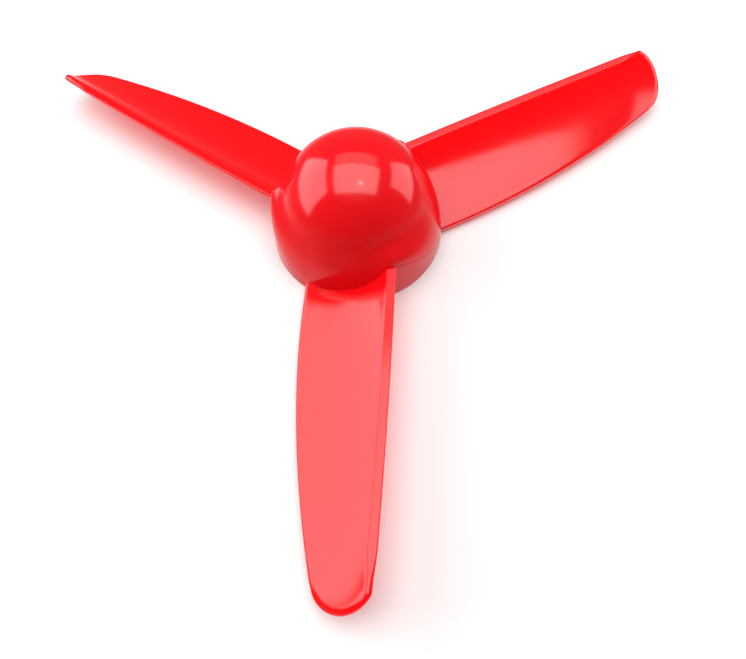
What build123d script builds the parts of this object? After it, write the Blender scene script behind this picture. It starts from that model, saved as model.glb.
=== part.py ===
from build123d import *
import math
import os

# Three-blade propeller with a ball-shaped hub, in millimetres.
# The origin is on the shaft axis at the hub's rear rim, and +Z points forwards to the nose.
# Each blade is shaped in its own frame: X runs out along the blade, Y across it towards
# the leading edge, and Z forwards. Every position along the blade is a "station".

# ---------------------------------------------------------------- overall
tip_radius = 50.0
blade_count = 3
first_blade_angle = -90.0

# ---------------------------------------------------------------- hub shells
rim_radius = 11.5
hub_height = 15.5
dome_radius = 9.7
shell_wall = 1.2
skirt_draft = 0.1
skirt_height = 2.0
shoulder_height = 7.6

# ---------------------------------------------------------------- blades
blade_thickness = 1.0
blade_root_station = 8.0
blade_root_depth = 1.5
leading_root = 5.5
leading_tip = 4.15
leading_crown = 0.25
leading_root_height = 6.5
leading_tip_height = 6.9
leading_sag = -0.05
trailing_root = -6.15
trailing_tip = -1.9
trailing_crown = -1.78
trailing_root_height = 1.1
trailing_tip_height = 1.95
cup_straight_root = 0.42
cup_straight_tip = 0.36
cup_power = 4
tip_round_length = 3.4
tip_round_half_width = 3.5
tip_round_centre = 0.88

# ---------------------------------------------------------------- blade clamps
tab_centre = 1.2
tab_width = 5.2
tab_inner_station = 4.9
seat_margin = 1.0
seat_clearance = 0.05
post_radius = 1.9
screw_station = 6.9
screw_radius = 0.8
screw_length = 7.0
screw_head_radius = 1.5
screw_head_height = 0.9
screw_head_sunk = 0.7
screw_slot_width = 0.4
screw_slot_depth = 0.4
screw_clearance = 0.15
pilot_clearance = 0.02

# ---------------------------------------------------------------- bearing
shaft_radius = 1.0
bush_radius = 2.0
bush_flange_radius = 3.6
bush_flange_thickness = 0.5
washer_thickness = 0.3
washer_clearance = 0.05
running_clearance = 0.05
end_float = 0.1
web_thickness = 1.2
bearing_wall = 1.4
bearing_length = 8.6
clip_thickness = 0.4
clip_groove_depth = 0.4
clip_clearance = 0.05
clip_radius = 3.2
clip_mouth = 2.4
bush_end_beyond_clip = 0.7

# ---------------------------------------------------------------- shaping
blade_spans = 6
section_points = 9

# ---------------------------------------------------------------- worked out from the above
dome_centre = hub_height - dome_radius
web_rear = bush_flange_thickness + washer_thickness + end_float
bearing_front = web_rear + bearing_length
clip_rear = bearing_front + end_float
bush_length = clip_rear + clip_thickness + 2 * clip_clearance + bush_end_beyond_clip
root_ring_radius = rim_radius - blade_root_depth
seat_inner_station = tab_inner_station - seat_margin / 2
core_radius = bush_radius + running_clearance + bearing_wall + 2 * seat_clearance
core_height = bush_length + end_float
reach = rim_radius + tip_radius
blade_pitch = 360.0 / blade_count
screw_seat = web_rear + screw_head_sunk
screw_tip = screw_seat + screw_length
screw_slot_length = 2.5 * screw_head_radius
# Tools that cut right through the part are made this large.
tool_height = 3 * hub_height
tool_width = 4 * rim_radius


def crowned(u, root, tip, crown):
    """A straight run from root to tip, with a parabola of height crown added."""
    return root + (tip - root) * u + 4 * crown * u * (1 - u)


def blade_share(station):
    """0 at the blade's root station and 1 at its tip."""
    return (station - blade_root_station) / (tip_radius - blade_root_station)


def straight_share(station):
    """How much of the section's rise is straight, which falls a little from the hub's wall to the tip."""
    wall = blade_share(rim_radius)
    outside = max(0.0, blade_share(station) - wall) / (1 - wall)
    return cup_straight_root + (cup_straight_tip - cup_straight_root) * outside


def edges_at(station):
    """Trailing and leading edge as (across, height) pairs."""
    u = blade_share(station)
    trailing = crowned(u, trailing_root, trailing_tip, trailing_crown)
    trailing_height = crowned(u, trailing_root_height, trailing_tip_height, 0)
    leading = crowned(u, leading_root, leading_tip, leading_crown)
    leading_height = crowned(u, leading_root_height, leading_tip_height, leading_sag)
    return (trailing, trailing_height), (leading, leading_height)


def cupped_line(station, offset, inset=0.5 * blade_thickness):
    """Points across the cupped middle surface, moved by offset along its normal."""
    (trailing, low), (leading, high) = edges_at(station)
    start = trailing + inset
    width = leading - inset - start
    straight = straight_share(station)
    points = []
    for step in range(section_points):
        v = step / (section_points - 1)
        rise = straight * v + (1 - straight) * v**cup_power
        slope = straight + cup_power * (1 - straight) * v ** (cup_power - 1)
        slope *= (high - low) / width
        length = math.hypot(1, slope)
        across = start + v * width - offset * slope / length
        height = low + (high - low) * rise + offset / length
        points.append((across, height))
    return points


def section_plane(station):
    """Plane across the blade: its x is the blade's Y and its y is the blade's Z."""
    return Plane(origin=(station, 0, 0), x_dir=(0, 1, 0), z_dir=(1, 0, 0))


def blade_section(station, growth):
    """Closed section of the blade with rounded edges, thicker all round by growth."""
    half = 0.5 * blade_thickness + growth
    front = cupped_line(station, half)
    rear = cupped_line(station, -half)
    middle = cupped_line(station, 0)
    nose_in = (middle[-1][0] - middle[-2][0], middle[-1][1] - middle[-2][1])
    tail_in = (middle[0][0] - middle[1][0], middle[0][1] - middle[1][1])
    nose = beyond(middle[-1], nose_in, half)
    tail = beyond(middle[0], tail_in, half)
    outline = [
        Spline(*front),
        ThreePointArc(front[-1], nose, rear[-1]),
        Spline(*reversed(rear)),
        ThreePointArc(rear[0], tail, front[0]),
    ]
    return section_plane(station) * make_face(outline)


def beyond(point, direction, distance):
    """The point moved by distance along direction."""
    length = math.hypot(*direction)
    return (point[0] + direction[0] * distance / length, point[1] + direction[1] * distance / length)


def blade_strip(growth):
    """The whole cupped strip, from inside the hub to past the tip, before trimming."""
    inner = tab_inner_station - seat_margin
    span = (tip_radius + seat_margin - inner) / blade_spans
    stations = [inner + span * step for step in range(blade_spans + 1)]
    return loft([blade_section(station, growth) for station in stations])


def blade_outline(growth):
    """Prism that trims the strip: the round tip, the ring at the root and the clamp tab."""
    round_start = tip_radius - tip_round_length
    body = Pos(round_start / 2, 0) * Rectangle(round_start, tool_width)
    tip = Pos(round_start, tip_round_centre) * Ellipse(tip_round_length, tip_round_half_width)
    tab_start = tab_inner_station - growth
    tab_length = rim_radius - tab_start
    tab = Pos(tab_start + tab_length / 2, tab_centre) * Rectangle(tab_length, tab_width + 2 * growth)
    ring = Circle(root_ring_radius - growth)
    outline = body + tip - ring + tab
    return extrude(Pos(0, 0, -hub_height) * outline, tool_height)


def blade_solid(growth=0.0):
    """One blade along +X with its clamp tab. growth makes the tool that cuts its seat."""
    return blade_strip(growth) & blade_outline(growth)


def around(count, shape):
    """Copies of a shape that is made along +X, one turned to each blade."""
    return [Rot(0, 0, first_blade_angle + blade_pitch * index) * shape for index in range(count)]


def hub_body(inset):
    """Solid of revolution of the hub's outer shape, moved inwards by inset."""
    radius = dome_radius - inset
    rise = shoulder_height - dome_centre
    shoulder = math.sqrt(radius**2 - rise**2)
    rim = rim_radius - inset
    quarter = math.atan2(rise, shoulder) / 2 + math.pi / 4
    middle = (radius * math.cos(quarter), dome_centre + radius * math.sin(quarter))
    top = (0, dome_centre + radius)
    outline = [
        Line((0, 0), (rim, 0)),
        Line((rim, 0), (rim - skirt_draft, skirt_height)),
        Spline(
            (rim - skirt_draft, skirt_height),
            (shoulder, shoulder_height),
            tangents=[(-skirt_draft, skirt_height), (-rise, shoulder)],
        ),
        ThreePointArc((shoulder, shoulder_height), middle, top),
        Line(top, (0, 0)),
    ]
    return revolve(Plane.XZ * make_face(outline), Axis.Z, 360)


def drum(radius, bottom, top):
    """Solid cylinder on the shaft axis between two heights."""
    return Pos(0, 0, bottom) * extrude(Circle(radius), top - bottom)


def seam_sector():
    """Space in front of the seam, from one blade's leading edge to the next trailing edge."""
    (trailing, low), (leading, high) = edges_at(blade_root_station)
    turn = math.radians(blade_pitch)
    across = (-math.sin(turn), math.cos(turn))
    along = (math.cos(turn), math.sin(turn))
    # Where this blade's leading edge line meets the next blade's trailing edge line.
    station = (leading - trailing * across[1]) / along[1]
    corner = (trailing * across[0] + station * along[0], leading)
    start = (rim_radius, leading)
    end_station = math.sqrt(rim_radius**2 - trailing**2)
    end = (trailing * across[0] + end_station * along[0], trailing * across[1] + end_station * along[1])
    far_start = (reach, leading)
    far_end = (trailing * across[0] + reach * along[0], trailing * across[1] + reach * along[1])
    far_middle = (far_start[0] + far_end[0], far_start[1] + far_end[1])
    floor = Polyline(corner, far_start, far_middle, far_end, corner)
    prism = extrude(Pos(0, 0, -hub_height) * make_face(floor), tool_height)
    chord = Vector(end[0] - start[0], end[1] - start[1], low - high)
    outwards = Vector(start[0] + end[0], start[1] + end[1], 0)
    seam = Plane(origin=(start[0], start[1], high), x_dir=outwards, z_dir=outwards.cross(chord))
    return split(prism, bisect_by=seam, keep=Keep.TOP)


def seam_chord():
    """Space in front of the middle of a blade's root, as wide as the blade."""
    line = cupped_line(blade_root_station, 0, inset=0)
    roof = tool_height - hub_height
    outline = [
        Spline(*line),
        Polyline(line[-1], (line[-1][0], roof), (line[0][0], roof), line[0]),
    ]
    start = Plane(origin=(0, 0, 0), x_dir=(0, 1, 0), z_dir=(1, 0, 0))
    return extrude(start * make_face(outline), rim_radius + seat_margin)


def front_space():
    """Everything in front of the seam between the two shells, except the bearing."""
    pieces = around(blade_count, seam_sector()) + around(blade_count, seam_chord())
    space = pieces[0].fuse(*pieces[1:])
    return space - drum(core_radius, -hub_height, core_height)


def clamp_axis(radius, bottom, top):
    """Cylinder on the first blade's clamp screw, in the blade's own frame."""
    return Pos(screw_station, tab_centre, bottom) * extrude(Circle(radius), top - bottom)


def spinner_dome(shell, front, seats):
    """Front shell, with a post over each blade's tab that its screw bites into."""
    posts = around(blade_count, clamp_axis(post_radius, 0, hub_height))
    dome = shell.fuse(*[post & hub_body(shell_wall / 2) for post in posts]) & front
    pilot_top = screw_tip + 2 * screw_clearance
    pilots = around(blade_count, clamp_axis(screw_radius + pilot_clearance, 0, pilot_top))
    return dome.cut(*seats, *pilots)


def blade_seat():
    """Block on the rear web that the blade's tab lies on."""
    length = root_ring_radius - seat_inner_station
    width = tab_width + 2 * seat_margin
    block = Pos(seat_inner_station + length / 2, tab_centre) * Rectangle(length, width)
    return extrude(Pos(0, 0, web_rear) * block, leading_root_height - web_rear)


def hub_base(shell, front, seats):
    """Rear shell with its web, the bearing tube and the three blade seats."""
    inside = hub_body(shell_wall / 2)
    web = drum(rim_radius, web_rear, web_rear + web_thickness) & inside
    blocks = [block & inside for block in around(blade_count, blade_seat())]
    base = shell.fuse(web, *blocks) - front
    base += drum(bush_radius + running_clearance + bearing_wall, web_rear, bearing_front)
    holes = [drum(bush_radius + running_clearance, 0, hub_height)]
    holes += around(blade_count, clamp_axis(screw_radius + screw_clearance, 0, leading_root_height))
    sink = screw_head_radius + screw_clearance
    holes += around(blade_count, clamp_axis(sink, 0, screw_seat))
    return base.cut(*seats, *holes)


def blade():
    """One blade with the hole for its clamp screw, along +X."""
    return blade_solid() - clamp_axis(screw_radius + screw_clearance, 0, hub_height)


def hub_screws():
    """The clamp screws, each with a slotted head at the rear."""
    head_rear = screw_seat - screw_head_height
    screw = clamp_axis(screw_radius, screw_seat, screw_tip)
    head = clamp_axis(screw_head_radius, head_rear, screw_seat)
    slot = Box(screw_slot_length, screw_slot_width, 2 * screw_slot_depth)
    screw = screw + head - Pos(screw_station, tab_centre, head_rear) * slot
    return Compound(children=around(blade_count, screw))


def shaft_bush():
    """Flanged sleeve that grips the shaft and carries the hub."""
    groove_top = clip_rear + clip_thickness + 2 * clip_clearance
    bush = drum(bush_flange_radius, 0, bush_flange_thickness) + drum(bush_radius, 0, bush_length)
    neck = bush_radius - clip_groove_depth
    bush -= drum(clip_radius, clip_rear, groove_top) - drum(neck, clip_rear, groove_top)
    return bush - drum(shaft_radius, 0, bush_length)


def thrust_washer():
    """Washer between the bush's flange and the hub's web."""
    front = bush_flange_thickness + washer_thickness
    ring = drum(bush_flange_radius, bush_flange_thickness, front)
    return ring - drum(bush_radius + washer_clearance, 0, front)


def bush_clip():
    """Open clip in the bush's groove that keeps the hub on it."""
    rear = clip_rear + clip_clearance
    front = rear + clip_thickness
    hole = bush_radius - clip_groove_depth + clip_clearance
    clip = drum(clip_radius, rear, front) - drum(hole, rear, front)
    mouth = Pos(clip_radius, 0, (rear + front) / 2) * Box(2 * clip_radius, clip_mouth, 2 * clip_thickness)
    return clip - mouth


def main():
    shell = hub_body(0) - hub_body(shell_wall)
    front = front_space()
    seats = around(blade_count, blade_solid(seat_clearance))
    nodes = {
        "spinner_dome": spinner_dome(shell, front, seats),
        "hub_base": hub_base(shell, front, seats),
        "hub_screws": hub_screws(),
        "shaft_bush": shaft_bush(),
        "thrust_washer": thrust_washer(),
        "bush_clip": bush_clip(),
    }
    for number, piece in enumerate(around(blade_count, blade()), start=1):
        nodes[f"blade_{number}"] = piece
    os.makedirs("parts", exist_ok=True)
    for name, shape in nodes.items():
        export_step(shape, f"parts/{name}.step")


main()
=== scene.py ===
import math

import bpy
from bpy.props import FloatProperty, FloatVectorProperty, PointerProperty
from mathutils import Matrix, Vector


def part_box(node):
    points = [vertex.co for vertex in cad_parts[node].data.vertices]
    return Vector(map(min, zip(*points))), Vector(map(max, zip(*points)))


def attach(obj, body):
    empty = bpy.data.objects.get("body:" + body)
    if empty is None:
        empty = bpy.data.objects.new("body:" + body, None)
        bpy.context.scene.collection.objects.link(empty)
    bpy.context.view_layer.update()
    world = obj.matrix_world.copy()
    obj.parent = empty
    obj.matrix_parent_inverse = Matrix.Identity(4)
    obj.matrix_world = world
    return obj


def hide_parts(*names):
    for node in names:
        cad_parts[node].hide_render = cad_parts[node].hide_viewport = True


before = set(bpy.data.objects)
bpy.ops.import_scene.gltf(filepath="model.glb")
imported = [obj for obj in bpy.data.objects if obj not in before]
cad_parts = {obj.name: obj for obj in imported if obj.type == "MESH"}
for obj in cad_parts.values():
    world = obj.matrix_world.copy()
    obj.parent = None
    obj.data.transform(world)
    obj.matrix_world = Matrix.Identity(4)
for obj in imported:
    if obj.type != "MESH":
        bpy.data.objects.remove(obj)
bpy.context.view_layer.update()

bl_info = {
    "name": "Ball-hub Propeller",
    "version": (1, 0, 0),
    "blender": (4, 5, 0),
    "location": "3D View > Sidebar > Propeller",
    "description": "Moulded three-blade propeller with a ball-shaped hub, built around its packed frame",
    "category": "Add Mesh",
}

MM = 0.001
# The blades are slightly warped, each in its own way. For each: how straight its section is at
# the tip, and the easing with which it gets so along the blade.
BLADE_CUPS = {"blade_1": (0.95, 0.4), "blade_2": (0.9, 3.0), "blade_3": (0.6, 1.0)}
ROTOR = "rotor"
BLADE_TURN = 2 * math.pi / len(BLADE_CUPS)
FIRST_BLADE = -math.pi / 2
TIP_RADIUS = -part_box("blade_1")[0].y
RIM_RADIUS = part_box("hub_base")[1].x
HUB_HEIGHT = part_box("spinner_dome")[1].z


# ------------------------------------------------------------------ settings
class HubSizes(bpy.types.PropertyGroup):
    """Sizes of the hub's two shells."""

    rim_radius: FloatProperty(
        name="Rim radius", description="Radius of the rear rim that the propeller lies on",
        default=RIM_RADIUS, unit="LENGTH")
    root_radius: FloatProperty(
        name="Root radius", description="Radius of the wall where the blades leave it",
        default=11.25 * MM, unit="LENGTH")
    height: FloatProperty(
        name="Height", description="From the rim to the nose", default=HUB_HEIGHT, unit="LENGTH")
    dome_radius: FloatProperty(
        name="Dome radius", description="Radius of the round nose", default=9.7 * MM, unit="LENGTH")
    shoulder: FloatProperty(
        name="Shoulder", description="Height where the skirt meets the round nose",
        default=9.4 * MM, unit="LENGTH")
    wall: FloatProperty(
        name="Wall", description="Thickness of both shells", default=1.2 * MM, unit="LENGTH")
    seam_gap: FloatProperty(
        name="Seam gap", description="Half the width of the joint line between the shells",
        default=0.08 * MM, unit="LENGTH")


class BladeSizes(bpy.types.PropertyGroup):
    """Sizes of one blade."""

    tip_radius: FloatProperty(
        name="Tip radius", description="From the shaft axis to the blade's tip",
        default=TIP_RADIUS, unit="LENGTH")
    thickness: FloatProperty(
        name="Thickness", description="Thickness of the blade's wall", default=1.0 * MM, unit="LENGTH")
    land_end: FloatProperty(
        name="Land end", description="Where the land starts to run out before the tip",
        default=43.9 * MM, unit="LENGTH")
    land_run_out: FloatProperty(
        name="Land run-out", description="Length over which the land runs out",
        default=3.5 * MM, unit="LENGTH")
    land_step: FloatProperty(
        name="Land step", description="How far the leading edge steps in there",
        default=0.2 * MM, unit="LENGTH")
    tip_roll: FloatProperty(
        name="Tip roll", description="Width of the rounded-over rim round the tip",
        default=0.9 * MM, unit="LENGTH")


class Finishes(bpy.types.PropertyGroup):
    """Colours and gloss of the materials."""

    plastic: FloatVectorProperty(
        name="Plastic", description="Colour of the moulded shells and blades",
        subtype="COLOR", size=3, min=0, max=1, default=(0.97, 0.008, 0.016))
    hub_translucency: FloatProperty(
        name="Hub translucency", description="Share of the light that the hub's plastic lets through",
        default=0.38, min=0, max=1)
    blade_translucency: FloatProperty(
        name="Blade translucency", description="Share of the light that the thin blades let through",
        default=0.68, min=0, max=1)
    plastic_roughness: FloatProperty(
        name="Plastic roughness", description="How far the moulded plastic blurs reflections",
        default=0.13, min=0, max=1)
    brass: FloatVectorProperty(
        name="Brass", description="Colour of the shaft bush", subtype="COLOR", size=3, min=0, max=1,
        default=(0.72, 0.47, 0.17))
    steel: FloatVectorProperty(
        name="Steel", description="Colour of the screws and the clip", subtype="COLOR", size=3, min=0, max=1,
        default=(0.55, 0.55, 0.57))


class Studio(bpy.types.PropertyGroup):
    """The light tent round the object."""

    panel_radiance: FloatProperty(
        name="Panel brightness", description="Brightness of the tent's panels", default=3.3, min=0)
    panel_softness: FloatProperty(
        name="Panel softness", description="Share of a panel over which its edges fade",
        default=0.07, min=0, max=0.5)
    front_ambient: FloatProperty(
        name="Front ambient", description="Brightness of the room on the camera's side", default=0.13, min=0)
    table_glow: FloatProperty(
        name="Table glow", description="Brightness of the table close by, as the glossy plastic mirrors it",
        default=0.65, min=0)
    side_ambient: FloatProperty(
        name="Side ambient", description="Brightness of the rest of the room", default=0.45, min=0)
    floor_size: FloatProperty(
        name="Floor size", description="Side of the floor", default=0.8, unit="LENGTH")


# ------------------------------------------------------------------ shape of the blade
def crowned(u, root, tip, crown):
    """A straight run from root to tip, with a parabola of height crown added."""
    return root + (tip - root) * u + 4 * crown * u * (1 - u)


def smooth(x, low, high):
    """0 below low, 1 above high, and a smooth step between."""
    t = min(1.0, max(0.0, (x - low) / (high - low)))
    return t * t * (3 - 2 * t)


class BladeForm:
    """The cupped blade in its own frame: station runs out, across points to the leading edge."""

    root_station = 8.0 * MM
    # Part of a section's rise is straight, and the rest grows with this power of the way across.
    cup_root = 0.42
    cup_power = 4
    # The tip is half an ellipse: its length, half its width, and where its middle lies across.
    round_length = 3.4 * MM
    round_half_width = 3.5 * MM
    round_centre = 0.88 * MM
    # Each of these runs from its value at the root station to its value at the tip, with a crown
    # of the third value between: the edges' places across the blade, then their heights.
    trailing_line = (-6.15 * MM, -1.9 * MM, -1.78 * MM)
    leading_line = (5.5 * MM, 4.15 * MM, 0.25 * MM)
    trailing_height = (1.0 * MM, 2.05 * MM, -0.2 * MM)
    leading_height = (6.5 * MM, 6.9 * MM, -0.05 * MM)

    def __init__(self, sizes, cup_tip=0.95, cup_easing=0.4):
        self.sizes = sizes
        self.cup_tip = cup_tip
        self.cup_easing = cup_easing
        self.half = sizes.thickness / 2
        self.round_start = sizes.tip_radius - self.round_length

    def share(self, station):
        """0 at the root station and 1 at the tip."""
        return (station - self.root_station) / (self.sizes.tip_radius - self.root_station)

    def straight_share(self, station):
        """How much of the section's rise is straight: least in the hub's wall."""
        wall = self.share(RIM_RADIUS)
        outside = max(0.0, self.share(station) - wall) / (1 - wall)
        return self.cup_root + (self.cup_tip - self.cup_root) * outside**self.cup_easing

    def full_edges(self, station):
        """Trailing edge and its height, leading edge and its height, before the tip is rounded."""
        u = self.share(station)
        trailing = crowned(u, *self.trailing_line)
        leading = crowned(u, *self.leading_line)
        low = crowned(u, *self.trailing_height)
        high = crowned(u, *self.leading_height)
        return trailing, low, leading, high

    def land_left(self, station):
        """1 along the land, falling to 0 where it runs out before the tip."""
        return 1 - smooth(station, self.sizes.land_end, self.sizes.land_end + self.sizes.land_run_out)

    def trimmed_edges(self, station):
        """Trailing and leading edge as they are seen: rounded at the tip, stepped at the land's end."""
        trailing, _, leading, _ = self.full_edges(station)
        leading -= self.sizes.land_step * (1 - self.land_left(station))
        if station > self.round_start:
            share = min(1.0, (station - self.round_start) / self.round_length)
            reach = self.round_half_width * math.sqrt(max(0.0, 1 - share**2))
            trailing = max(trailing, self.round_centre - reach)
            leading = min(leading, self.round_centre + reach)
        return trailing, leading

    def half_at(self, station, across):
        """Half the thickness, which falls to nothing over the rolled rim of the tip."""
        if station <= self.round_start:
            return self.half
        out = (station - self.round_start) / self.round_length
        side = (across - self.round_centre) / self.round_half_width
        depth = (1 - min(1.0, math.hypot(out, side))) * self.round_half_width
        grown = smooth(station, self.round_start, self.round_start + self.round_length / 2)
        roll = self.half + (self.sizes.tip_roll - self.half) * grown
        return self.half * math.sqrt(1 - (1 - min(1.0, depth / roll)) ** 2)

    def middle(self, station, across):
        """Height and slope of the blade's middle surface."""
        trailing, low, leading, high = self.full_edges(station)
        start = trailing + self.half
        width = leading - self.half - start
        v = min(1.0, max(0.0, (across - start) / width))
        straight, power = self.straight_share(station), self.cup_power
        height = low + (high - low) * (straight * v + (1 - straight) * v**power)
        slope = straight + power * (1 - straight) * v ** (power - 1)
        return height, slope * (high - low) / width

    def frame(self, station, across):
        """Point of the middle surface, with the directions along and off the section there."""
        height, slope = self.middle(station, across)
        along = Vector((1, slope)).normalized()
        return Vector((across, height)), along, Vector((-along.y, along.x))

    def skin(self, station, across, side):
        """Point on the front, side 1, or on the rear, side -1."""
        centre, _, off = self.frame(station, across)
        return centre + off * side * self.half_at(station, across)


# Points along each face and round each edge of a section, and steps along the blade.
FACE_POINTS = 22
EDGE_POINTS = 9
TAB_STEPS = 3
BODY_STEPS = 40
LAND_STEPS = 4
TIP_STEPS = 18
TIP_SWEEP = math.radians(89)
# The edges: how far in they start as a share of the width at most, how square the trailing one is,
# and how far inside the leading one the land starts.
MOST_INSET = 0.45
TAIL_SQUARENESS = 0.6
LAND_CORNER = 0.3 * MM
# The land's brow, turn and underside: how far inside the leading edge, and above the face beside it.
LAND_BROW = (0.2 * MM, 0.1 * MM)
LAND_TURN = (0.02 * MM, -0.12 * MM)
LAND_UNDER = (0.1 * MM, 0.15 * MM)
# The clamp tab, and the short step from it to the blade.
TAB_START = 4.9 * MM
TAB_END = 8.2 * MM
TAB_CENTRE = 1.2 * MM
TAB_HALF_WIDTH = 2.6 * MM
BEFORE_STEP = 0.05 * MM
AFTER_STEP = 0.1 * MM


def blade_section(form, station):
    """Closed outline of the blade at a station: front, leading edge, rear, trailing edge."""
    trailing, leading = form.trimmed_edges(station)
    land = form.land_left(station)
    if station < TAB_END:
        trailing, leading, land = TAB_CENTRE - TAB_HALF_WIDTH, TAB_CENTRE + TAB_HALF_WIDTH, 0.0
    inset = min(form.half, MOST_INSET * (leading - trailing))
    start, end = trailing + inset, leading - inset
    corner = end - land * LAND_CORNER
    steps = [i / (FACE_POINTS - 1) for i in range(FACE_POINTS)]
    front = [form.skin(station, start + (corner - start) * step, 1) for step in steps]
    rear = [form.skin(station, end + (start - end) * step, -1) for step in steps]
    nose = round_edge(form, station, end, inset, 1.0)
    if land:
        nose = [point.lerp(flat, land) for point, flat in zip(nose, land_edge(front[-1], rear[0], leading))]
    tail = round_edge(form, station, start, -inset, TAIL_SQUARENESS)
    return front + nose + rear + tail[::-1]


def round_edge(form, station, across, reach, squareness):
    """Points round an edge from front to rear; a squareness under 1 flattens the edge's face."""
    centre, along, off = form.frame(station, across)
    half = form.half_at(station, across)
    points = []
    for step in range(1, EDGE_POINTS + 1):
        angle = math.pi * (0.5 - step / (EDGE_POINTS + 1))
        out = math.cos(angle) ** squareness
        up = math.copysign(abs(math.sin(angle)) ** squareness, angle)
        points.append(centre + along * reach * out + off * half * up)
    return points


def land_edge(first, last, leading):
    """The land: nearly flat from the cupped face to the edge, then round and back to the rear."""
    brow = Vector((leading - LAND_BROW[0], first.y + LAND_BROW[1]))
    turn = Vector((leading - LAND_TURN[0], first.y + LAND_TURN[1]))
    under = Vector((leading - LAND_UNDER[0], last.y + LAND_UNDER[1]))
    points = [first.lerp(brow, share) for share in (0.1, 0.4, 0.7, 1.0)]
    points += [brow.lerp(turn, 0.5) + Vector((0.05, 0.04)) * MM, turn]
    points += [turn.lerp(under, 0.5), under, under.lerp(last, 0.6)]
    return points


def evenly(start, end, steps):
    """Values from start to end in even steps, both ends with them."""
    return [start + (end - start) * i / steps for i in range(steps + 1)]


def blade_stations(form):
    """Stations of the blade's sections: the clamp tab, the long run and the round tip."""
    tab = evenly(TAB_START, TAB_END - BEFORE_STEP, TAB_STEPS)
    body = evenly(TAB_END + AFTER_STEP, form.round_start, BODY_STEPS)
    land = [form.sizes.land_end + form.sizes.land_run_out * i / LAND_STEPS for i in range(LAND_STEPS + 1)]
    reaches = [math.sin(TIP_SWEEP * i / TIP_STEPS) for i in range(1, TIP_STEPS + 1)]
    tip = [form.round_start + form.round_length * reach for reach in reaches]
    return tab + sorted(body + land) + tip


# ------------------------------------------------------------------ shape of the hub
class HubForm:
    """The hub's outer surface, with the joint line that climbs along each blade's root."""

    # The joint line runs up along each blade's root, then falls to the next blade's trailing edge.
    low_seam = 1.1 * MM
    trailing_root = BladeForm.trailing_line[0]
    leading_root = BladeForm.leading_line[0]
    high_seam = BladeForm.leading_height[0]
    # How the skirt leaves the joint line and comes to the nose: its lean, and the two reaches of
    # its curve as shares of its length.
    skirt_lean = -0.08
    first_reach = 0.42
    last_reach = 0.34

    def __init__(self, sizes, blade):
        self.sizes = sizes
        self.blade = blade
        self.dome_centre = sizes.height - sizes.dome_radius

    def wall(self, height):
        """Radius of the plain wall below the joint line."""
        share = min(1.0, height / self.high_seam)
        return self.sizes.rim_radius + (self.sizes.root_radius - self.sizes.rim_radius) * share

    def seam(self, angle):
        """Height of the joint line at an angle round the hub."""
        turn = (angle - FIRST_BLADE + BLADE_TURN / 2) % BLADE_TURN - BLADE_TURN / 2
        radius = self.sizes.root_radius
        across = radius * math.sin(turn)
        if self.trailing_root <= across <= self.leading_root:
            return self.blade.middle(radius, across)[0]
        lead_angle = math.asin(self.leading_root / radius)
        trail_angle = BLADE_TURN + math.asin(self.trailing_root / radius)
        if turn < 0:
            turn += BLADE_TURN
        start = Vector((math.cos(lead_angle), math.sin(lead_angle)))
        chord = Vector((math.cos(trail_angle), math.sin(trail_angle))) - start
        here = Vector((math.cos(turn), math.sin(turn))) - start
        share = here.dot(chord) / chord.length_squared
        return self.high_seam + (self.low_seam - self.high_seam) * share

    def skirt(self, angle, share):
        """Point of the front shell from the joint line, share 0, to the round nose, share 1."""
        base, top = self.seam(angle), self.sizes.shoulder
        rise = top - self.dome_centre
        radius = math.sqrt(self.sizes.dome_radius**2 - rise**2)
        start, end = Vector((self.wall(base), base)), Vector((radius, top))
        run = (end - start).length
        lean = Vector((self.skirt_lean, 1)).normalized()
        into = Vector((-rise, radius)).normalized()
        p = (start, start + lean * self.first_reach * run, end - into * self.last_reach * run, end)
        a, b = 1 - share, share
        return a**3 * p[0] + 3 * a * a * b * p[1] + 3 * a * b * b * p[2] + b**3 * p[3]

    def nose(self, share):
        """Point of the round nose, from the shoulder to the top."""
        start = math.asin((self.sizes.shoulder - self.dome_centre) / self.sizes.dome_radius)
        height = start + (math.pi / 2 - start) * share
        radius = self.sizes.dome_radius
        return Vector((radius * math.cos(height), self.dome_centre + radius * math.sin(height)))


# ------------------------------------------------------------------ modelling helpers
MERGE_DISTANCE = 0.002 * MM
SHARP_EDGE = math.radians(60)


def deselect():
    """Leaves edit mode and selects nothing."""
    if bpy.context.object and bpy.context.object.mode != "OBJECT":
        bpy.ops.object.mode_set(mode="OBJECT")
    bpy.ops.object.select_all(action="DESELECT")


def only(piece):
    """Makes a piece the one selected and active object."""
    deselect()
    piece.select_set(True)
    bpy.context.view_layer.objects.active = piece


def wrapped_grid(name, columns, rows, place):
    """A grid laid over a surface: place(column share, row share) gives each point. Edges that meet join."""
    deselect()
    bpy.ops.mesh.primitive_grid_add(x_subdivisions=columns, y_subdivisions=rows, size=1)
    piece = bpy.context.object
    piece.name = name
    piece.data.name = name
    for vertex in piece.data.vertices:
        vertex.co = place(round(vertex.co.x + 0.5, 6), round(vertex.co.y + 0.5, 6))
    merge(piece)
    return piece


def merge(piece):
    """Joins the vertices of a piece that lie on one another."""
    only(piece)
    bpy.ops.object.mode_set(mode="EDIT")
    bpy.ops.mesh.select_all(action="SELECT")
    bpy.ops.mesh.remove_doubles(threshold=MERGE_DISTANCE)
    bpy.ops.mesh.select_all(action="DESELECT")
    bpy.ops.object.mode_set(mode="OBJECT")


def face_out(piece):
    """Makes every face of a piece point outwards."""
    only(piece)
    bpy.ops.object.mode_set(mode="EDIT")
    bpy.ops.mesh.select_all(action="SELECT")
    bpy.ops.mesh.normals_make_consistent(inside=False)
    bpy.ops.mesh.select_all(action="DESELECT")
    bpy.ops.object.mode_set(mode="OBJECT")


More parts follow.
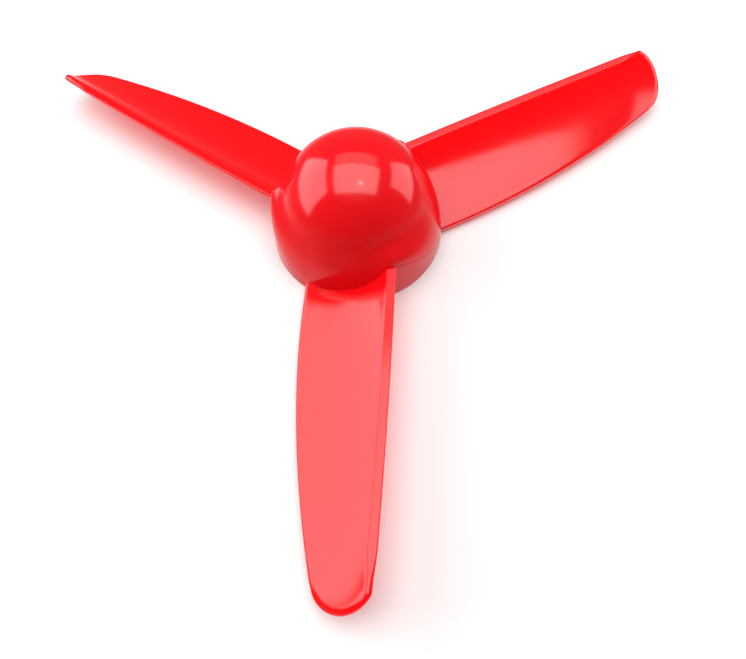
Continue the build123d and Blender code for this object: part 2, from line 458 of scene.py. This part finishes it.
def close_ends(piece):
    """Fills every open ring of a piece."""
    only(piece)
    bpy.ops.object.mode_set(mode="EDIT")
    bpy.ops.mesh.select_mode(type="EDGE")
    bpy.ops.mesh.select_non_manifold()
    bpy.ops.mesh.fill()
    bpy.ops.mesh.select_all(action="DESELECT")
    bpy.ops.object.mode_set(mode="OBJECT")


def add_modifier(piece, kind, **settings):
    """Adds a modifier, sets it and applies it."""
    only(piece)
    modifier = piece.modifiers.new(kind.title(), kind)
    for key, value in settings.items():
        setattr(modifier, key, value)
    bpy.ops.object.modifier_apply(modifier=modifier.name)


def finish_piece(piece, body, slot, material, *nodes, angle=35.0):
    """Shades a piece, gives it its material and its body, and hides the nodes it stands for."""
    only(piece)
    bpy.ops.object.transform_apply(location=True, rotation=True, scale=True)
    bpy.ops.object.shade_smooth_by_angle(angle=math.radians(angle))
    piece.data.materials.clear()
    piece.data.materials.append(material)
    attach(piece, body)
    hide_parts(*nodes)


# ------------------------------------------------------------------ materials
# The colour of the light that comes through the red plastic.
THROUGH_LIGHT = (1.0, 0.004, 0.008)


def new_material(name):
    """A new material, its node tree and its main shader."""
    material = bpy.data.materials.new(name)
    material.use_nodes = True
    tree = material.node_tree
    return material, tree, tree.nodes["Principled BSDF"]


def on_piece(tree, texture):
    """Lays a texture on the piece's own coordinates."""
    place = tree.nodes.new("ShaderNodeTexCoord")
    tree.links.new(place.outputs["Object"], texture.inputs["Vector"])
    return texture


def noise(tree, scale, detail):
    """Noise on the piece's own coordinates."""
    texture = on_piece(tree, tree.nodes.new("ShaderNodeTexNoise"))
    texture.inputs["Scale"].default_value = scale
    texture.inputs["Detail"].default_value = detail
    return texture


def remap(tree, source, low, high, to_low, to_high):
    """Takes values between low and high to between to_low and to_high."""
    node = tree.nodes.new("ShaderNodeMapRange")
    node.inputs["From Min"].default_value = low
    node.inputs["From Max"].default_value = high
    node.inputs["To Min"].default_value = to_low
    node.inputs["To Max"].default_value = to_high
    tree.links.new(source, node.inputs["Value"])
    return node.outputs["Result"]


def tinted(tree, source, low, high):
    """A colour between low and high by the source."""
    tint = tree.nodes.new("ShaderNodeMix")
    tint.data_type = "RGBA"
    tint.inputs["A"].default_value = (*low, 1)
    tint.inputs["B"].default_value = (*high, 1)
    tree.links.new(source, tint.inputs["Factor"])
    return tint.outputs["Result"]


def bump(tree, height, strength, distance, before=None):
    """A normal that follows a height, laid over the normal before it."""
    node = tree.nodes.new("ShaderNodeBump")
    node.inputs["Strength"].default_value = strength
    node.inputs["Distance"].default_value = distance
    tree.links.new(height, node.inputs["Height"])
    if before:
        tree.links.new(before, node.inputs["Normal"])
    return node.outputs["Normal"]


def moulded_plastic(name, colour, roughness, let_through):
    """Glossy, slightly translucent moulded plastic: flow ripple, orange peel, specks and patchy gloss."""
    material, tree, shader = new_material(name)
    flow = noise(tree, 90, 2.0)
    peel = noise(tree, 900, 3.0)
    scuff = noise(tree, 260, 5.0)
    specks = on_piece(tree, tree.nodes.new("ShaderNodeTexVoronoi"))
    specks.inputs["Scale"].default_value = 170
    speck = remap(tree, specks.outputs["Distance"], 0.02, 0.035, 1, 0)
    normal = bump(tree, flow.outputs["Fac"], 0.08, 0.35 * MM)
    normal = bump(tree, peel.outputs["Fac"], 0.05, 0.04 * MM, normal)
    normal = bump(tree, speck, 0.5, 0.05 * MM, normal)
    tree.links.new(normal, shader.inputs["Normal"])
    rough = remap(tree, scuff.outputs["Fac"], 0.35, 0.75, roughness * 0.8, roughness * 1.35)
    tree.links.new(rough, shader.inputs["Roughness"])
    colour = tuple((1 - let_through) * c for c in colour)
    deep = tuple(0.93 * c for c in colour)
    share = remap(tree, flow.outputs["Fac"], 0.3, 0.7, 0, 1)
    tree.links.new(tinted(tree, share, deep, colour), shader.inputs["Base Color"])
    shader.inputs["IOR"].default_value = 1.5
    glow = tree.nodes.new("ShaderNodeBsdfTranslucent")
    glow.inputs["Color"].default_value = (*(let_through * c for c in THROUGH_LIGHT), 1)
    both = tree.nodes.new("ShaderNodeAddShader")
    tree.links.new(shader.outputs["BSDF"], both.inputs[0])
    tree.links.new(glow.outputs["BSDF"], both.inputs[1])
    tree.links.new(both.outputs["Shader"], tree.nodes["Material Output"].inputs["Surface"])
    return material


def turned_metal(name, colour, roughness, grooves):
    """Turned metal: fine rings round the shaft axis and a faint tarnish."""
    material, tree, shader = new_material(name)
    rings = on_piece(tree, tree.nodes.new("ShaderNodeTexWave"))
    rings.wave_type = "RINGS"
    rings.rings_direction = "Z"
    rings.inputs["Scale"].default_value = grooves
    rings.inputs["Distortion"].default_value = 0.4
    tarnish = noise(tree, 500, 4.0)
    tree.links.new(bump(tree, rings.outputs["Fac"], 0.15, 0.02 * MM), shader.inputs["Normal"])
    rough = remap(tree, tarnish.outputs["Fac"], 0.3, 0.7, roughness * 0.7, roughness * 1.3)
    tree.links.new(rough, shader.inputs["Roughness"])
    share = remap(tree, tarnish.outputs["Fac"], 0.3, 0.65, 0, 1)
    dull = tuple(0.75 * c for c in colour)
    tree.links.new(tinted(tree, share, dull, colour), shader.inputs["Base Color"])
    shader.inputs["Metallic"].default_value = 1.0
    return material


def pale_plastic(name):
    """Matt natural nylon."""
    material, tree, shader = new_material(name)
    grain = noise(tree, 700, 4.0)
    tree.links.new(bump(tree, grain.outputs["Fac"], 0.2, 0.03 * MM), shader.inputs["Normal"])
    tree.links.new(remap(tree, grain.outputs["Fac"], 0.3, 0.7, 0.45, 0.6), shader.inputs["Roughness"])
    colour = tinted(tree, grain.outputs["Fac"], (0.78, 0.77, 0.72), (0.86, 0.85, 0.82))
    tree.links.new(colour, shader.inputs["Base Color"])
    return material


def red_plastic(context, name, let_through):
    """The red plastic of the shells or of the blades, made once under its name."""
    finish = context.scene.propeller_finish
    found = bpy.data.materials.get(name)
    return found or moulded_plastic(name, tuple(finish.plastic), finish.plastic_roughness, let_through)


def hub_plastic(context):
    """The plastic of the two shells."""
    return red_plastic(context, "red_hub_plastic", context.scene.propeller_finish.hub_translucency)


def blade_plastic(context):
    """The plastic of the blades, which lets more light through."""
    return red_plastic(context, "red_blade_plastic", context.scene.propeller_finish.blade_translucency)


# ------------------------------------------------------------------ operators
class MESH_OT_propeller_blades(bpy.types.Operator):
    """Model the cupped blades, each with its own slight warp"""

    bl_idname = "mesh.propeller_blades"
    bl_label = "Blades"

    def execute(self, context):
        for index, (node, (cup_tip, cup_easing)) in enumerate(BLADE_CUPS.items()):
            form = BladeForm(context.scene.propeller_blade, cup_tip, cup_easing)
            blade = self.blade(form, f"moulded_{node}")
            blade.data.transform(Matrix.Rotation(FIRST_BLADE + BLADE_TURN * index, 4, "Z"))
            finish_piece(blade, ROTOR, "blade_plastic", blade_plastic(context), node, angle=40)
        return {"FINISHED"}

    def blade(self, form, name):
        """One blade along +X: a skin laid through its sections, closed at both ends and smoothed."""
        stations = blade_stations(form)
        sections = [blade_section(form, station) for station in stations]
        around = len(sections[0])

        def place(u, w):
            row = round(u * (len(stations) - 1))
            across, height = sections[row][-round(w * around) % around]
            return Vector((stations[row], across, height))

        blade = wrapped_grid(name, len(stations) - 1, around, place)
        close_ends(blade)
        face_out(blade)
        add_modifier(blade, "SUBSURF", levels=2, render_levels=2)
        return blade


class MESH_OT_propeller_dome(bpy.types.Operator):
    """Model the front shell, from the joint line up to the nose"""

    bl_idname = "mesh.propeller_dome"
    bl_label = "Spinner Dome"

    skirt_rows = 16
    nose_rows = 28
    columns = 240
    edge_round = 0.06 * MM

    def execute(self, context):
        sizes = context.scene.propeller_hub
        form = HubForm(sizes, BladeForm(context.scene.propeller_blade))
        rows = self.skirt_rows + self.nose_rows

        def place(u, w):
            angle = 2 * math.pi * u
            row = w * rows
            if row <= self.skirt_rows:
                radius, height = form.skirt(angle, row / self.skirt_rows)
                height += sizes.seam_gap * (1 - row / self.skirt_rows)
            else:
                radius, height = form.nose((row - self.skirt_rows) / self.nose_rows)
            return Vector((radius * math.cos(angle), radius * math.sin(angle), height))

        dome = wrapped_grid("moulded_spinner_dome", self.columns, rows, place)
        face_out(dome)
        add_modifier(dome, "SOLIDIFY", thickness=sizes.wall, offset=-1, use_even_offset=True)
        add_modifier(dome, "BEVEL", width=self.edge_round, segments=2, limit_method="ANGLE",
                     angle_limit=SHARP_EDGE)
        finish_piece(dome, ROTOR, "hub_plastic", hub_plastic(context), "spinner_dome")
        return {"FINISHED"}


class MESH_OT_propeller_base(bpy.types.Operator):
    """Model the rear shell: the plain wall below the joint line, with its web and bearing tube"""

    bl_idname = "mesh.propeller_base"
    bl_label = "Hub Base"

    wall_rows = 12
    columns = 240
    edge_round = 0.08 * MM

    def execute(self, context):
        sizes = context.scene.propeller_hub
        form = HubForm(sizes, BladeForm(context.scene.propeller_blade))

        def place(u, w):
            angle = 2 * math.pi * u
            height = (form.seam(angle) - sizes.seam_gap) * w
            radius = form.wall(height)
            return Vector((radius * math.cos(angle), radius * math.sin(angle), height))

        base = wrapped_grid("moulded_hub_base", self.columns, self.wall_rows, place)
        face_out(base)
        add_modifier(base, "SOLIDIFY", thickness=sizes.wall, offset=-1, use_even_offset=True)
        add_modifier(base, "BEVEL", width=self.edge_round, segments=3, limit_method="ANGLE",
                     angle_limit=SHARP_EDGE)
        for vertex in base.data.vertices:
            vertex.co.z = max(vertex.co.z, 0.0)
        finish_piece(base, ROTOR, "hub_plastic", hub_plastic(context), "hub_base")
        self.web(context, sizes)
        return {"FINISHED"}

    def web(self, context, sizes):
        """The web, bearing tube and blade seats: the frame's own base, cut free of its outer wall."""
        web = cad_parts["hub_base"].copy()
        web.data = web.data.copy()
        web.name = web.data.name = "moulded_hub_web"
        context.collection.objects.link(web)
        web.hide_render = web.hide_viewport = False
        merge(web)
        deselect()
        bpy.ops.mesh.primitive_cylinder_add(
            vertices=192, radius=sizes.rim_radius - sizes.wall + sizes.seam_gap,
            depth=2 * sizes.height, location=(0, 0, sizes.height / 2))
        core = bpy.context.object
        add_modifier(web, "BOOLEAN", object=core, operation="INTERSECT", solver="EXACT")
        bpy.data.objects.remove(core)
        finish_piece(web, ROTOR, "hub_plastic", hub_plastic(context), "hub_base")


class MESH_OT_propeller_metal(bpy.types.Operator):
    """Finish the bush, the washer, the clip and the screws"""

    bl_idname = "mesh.propeller_metal"
    bl_label = "Bush and Screws"

    def execute(self, context):
        finish = context.scene.propeller_finish
        brass = turned_metal("turned_brass", tuple(finish.brass), 0.25, 900)
        steel = turned_metal("plated_steel", tuple(finish.steel), 0.3, 700)
        looks = {
            "shaft_bush": brass, "bush_clip": steel, "hub_screws": steel,
            "thrust_washer": pale_plastic("natural_nylon"),
        }
        for node, material in looks.items():
            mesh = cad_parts[node].data
            mesh.materials.clear()
            mesh.materials.append(material)
        return {"FINISHED"}


# The camera: its place, the point it looks at, its roll, its lens and its shift.
CAMERA_PLACE = Vector((5.35, -54.38, 79.2)) * MM
CAMERA_TARGET = Vector((0, 0, -31.9)) * MM
CAMERA_ROLL = math.radians(-3.31)
CAMERA_LENS = 33.1
CAMERA_SENSOR = 36
CAMERA_SHIFT = (0.0125, 0.001)
FLOOR_GREY = 0.8
# Where the room's brightness turns, along a direction's Y for the front and along its Z for the rest.
FRONT_TURN = (-0.5, 0.1)
CEILING_TURN = (0.75, 0.98)
TABLE_TURN = (-0.55, -0.25)
HORIZON_TURN = (0.0, -0.02)


class OBJECT_OT_propeller_stage(bpy.types.Operator):
    """Set the pale floor, the light tent and the camera"""

    bl_idname = "object.propeller_stage"
    bl_label = "Stage"

    def execute(self, context):
        studio = context.scene.propeller_studio
        self.floor(studio)
        self.room(context, studio)
        glow = studio.panel_radiance
        # Each panel: its middle, the way it faces, its size and its brightness.
        for name, centre, facing, size, radiance in (
            ("tent_top", (0.012, 0.01, 0.35), (0, 0, -1), (0.445, 0.31), glow),
            ("tent_top_back", (0.0, 0.2475, 0.35), (0, 0, -1), (0.42, 0.165), 0.35 * glow),
            ("tent_left", (-0.28, 0.08, 0.175), (1, 0, 0), (0.40, 0.33), 0.95 * glow),
            ("tent_right", (0.29, 0.14, 0.125), (-1, 0, 0), (0.28, 0.25), 0.75 * glow),
            ("tent_lamp", (0.05, -0.04, 0.34), (0, 0, -1), (0.035, 0.03), 2.8 * glow),
        ):
            self.panel(name, Vector(centre), Vector(facing), size, radiance)
        self.camera(context)
        context.scene.view_settings.view_transform = "Standard"
        return {"FINISHED"}

    def floor(self, studio):
        """The pale floor, which the panels light and the glossy plastic doesn't mirror."""
        deselect()
        bpy.ops.mesh.primitive_plane_add(size=studio.floor_size)
        floor = bpy.context.object
        floor.name = "floor"
        floor.visible_glossy = False
        material, tree, shader = new_material("white_sweep")
        shader.inputs["Base Color"].default_value = (FLOOR_GREY, FLOOR_GREY, FLOOR_GREY, 1)
        shader.inputs["Roughness"].default_value = 0.7
        shader.inputs["Specular IOR Level"].default_value = 0.2
        floor.data.materials.append(material)

    def room(self, context, studio):
        """The world: what the gloss mirrors of the room and the table, and white for the camera."""
        world = bpy.data.worlds.new("light_tent")
        world.use_nodes = True
        tree = world.node_tree
        background = tree.nodes["Background"]
        background.inputs["Color"].default_value = (1, 1, 1, 1)
        place = tree.nodes.new("ShaderNodeTexCoord")
        split = tree.nodes.new("ShaderNodeSeparateXYZ")
        tree.links.new(place.outputs["Generated"], split.inputs["Vector"])
        ambient = studio.front_ambient
        front = remap(tree, split.outputs["Y"], *FRONT_TURN, 0.5 * ambient, ambient)
        high = remap(tree, split.outputs["Z"], *CEILING_TURN, 0, 1)
        room = self.choose(tree, high, front, studio.side_ambient)
        table = remap(tree, split.outputs["Z"], *TABLE_TURN, studio.table_glow, ambient)
        path = tree.nodes.new("ShaderNodeLightPath")
        below = remap(tree, split.outputs["Z"], *HORIZON_TURN, 0, 1)
        level = self.choose(tree, below, room, table)
        level = self.choose(tree, path.outputs["Is Camera Ray"], level, 1.0)
        tree.links.new(level, background.inputs["Strength"])
        context.scene.world = world

    def panel(self, name, centre, facing, size, radiance):
        """One panel of the tent: a soft-edged area light that the camera doesn't see."""
        data = bpy.data.lights.new(name, "AREA")
        data.shape = "RECTANGLE"
        data.size, data.size_y = size
        data.energy = radiance * math.pi * size[0] * size[1]
        self.fade_edges(data, bpy.context.scene.propeller_studio.panel_softness)
        light = bpy.data.objects.new(name, data)
        bpy.context.scene.collection.objects.link(light)
        light.location = centre
        light.rotation_euler = facing.to_track_quat("-Z", "Y").to_euler()
        light.visible_camera = False

    def choose(self, tree, share, first, second):
        """First where the share is 0, second where it is 1; second may be a plain number."""
        node = tree.nodes.new("ShaderNodeMapRange")
        for name, value in (("Value", share), ("To Min", first), ("To Max", second)):
            if isinstance(value, float):
                node.inputs[name].default_value = value
            else:
                tree.links.new(value, node.inputs[name])
        return node.outputs["Result"]

    def fade_edges(self, data, softness):
        """Lets a panel fade towards its edges."""
        data.use_nodes = True
        tree = data.node_tree
        place = tree.nodes.new("ShaderNodeNewGeometry")
        split = tree.nodes.new("ShaderNodeSeparateXYZ")
        tree.links.new(place.outputs["Parametric"], split.inputs["Vector"])
        strength = tree.nodes["Emission"].inputs["Strength"]
        both = tree.nodes.new("ShaderNodeMath")
        both.operation = "MULTIPLY"
        for index, axis in enumerate("XY"):
            off_centre = tree.nodes.new("ShaderNodeMath")
            off_centre.operation = "SUBTRACT"
            off_centre.inputs[1].default_value = 0.5
            tree.links.new(split.outputs[axis], off_centre.inputs[0])
            distance = tree.nodes.new("ShaderNodeMath")
            distance.operation = "ABSOLUTE"
            tree.links.new(off_centre.outputs[0], distance.inputs[0])
            tree.links.new(remap(tree, distance.outputs[0], 0.5 - softness, 0.5, 1, 0), both.inputs[index])
        tree.links.new(both.outputs[0], strength)

    def camera(self, context):
        """The camera above the front of the floor, turned to its target and rolled a little."""
        data = bpy.data.cameras.new("camera")
        camera = bpy.data.objects.new("camera", data)
        context.scene.collection.objects.link(camera)
        ahead = (CAMERA_TARGET - CAMERA_PLACE).normalized()
        right = ahead.cross(Vector((0, 0, 1))).normalized()
        up = right.cross(ahead)
        cosine, sine = math.cos(CAMERA_ROLL), math.sin(CAMERA_ROLL)
        right, up = cosine * right + sine * up, cosine * up - sine * right
        turn = Matrix((right, up, -ahead)).transposed().to_4x4()
        camera.matrix_world = Matrix.Translation(CAMERA_PLACE) @ turn
        data.sensor_width = CAMERA_SENSOR
        data.lens = CAMERA_LENS
        data.shift_x, data.shift_y = CAMERA_SHIFT
        data.clip_start = 0.001
        context.scene.camera = camera


class VIEW3D_PT_propeller(bpy.types.Panel):
    """Lists the propeller's pieces and settings"""

    bl_idname = "VIEW3D_PT_propeller"
    bl_label = "Propeller"
    bl_space_type = "VIEW_3D"
    bl_region_type = "UI"
    bl_category = "Propeller"

    def draw(self, context):
        scene = context.scene
        for title, group in (("Hub", scene.propeller_hub), ("Blades", scene.propeller_blade),
                             ("Finish", scene.propeller_finish), ("Studio", scene.propeller_studio)):
            box = self.layout.box()
            box.label(text=title)
            for key in type(group).__annotations__:
                box.prop(group, key)
        for operator in OPERATORS:
            self.layout.operator(operator.bl_idname)


OPERATORS = (
    MESH_OT_propeller_dome,
    MESH_OT_propeller_base,
    MESH_OT_propeller_blades,
    MESH_OT_propeller_metal,
    OBJECT_OT_propeller_stage,
)
GROUPS = {
    "propeller_hub": HubSizes,
    "propeller_blade": BladeSizes,
    "propeller_finish": Finishes,
    "propeller_studio": Studio,
}


def register():
    for cls in (*GROUPS.values(), *OPERATORS, VIEW3D_PT_propeller):
        bpy.utils.register_class(cls)
    for name, cls in GROUPS.items():
        setattr(bpy.types.Scene, name, PointerProperty(type=cls))


def unregister():
    for name in GROUPS:
        delattr(bpy.types.Scene, name)
    for cls in reversed((*GROUPS.values(), *OPERATORS, VIEW3D_PT_propeller)):
        bpy.utils.unregister_class(cls)


def main():
    register()
    bpy.ops.mesh.propeller_dome()
    bpy.ops.mesh.propeller_base()
    bpy.ops.mesh.propeller_blades()
    bpy.ops.mesh.propeller_metal()
    bpy.ops.object.propeller_stage()
    bpy.context.view_layer.update()


if __name__ == "__main__":
    main()
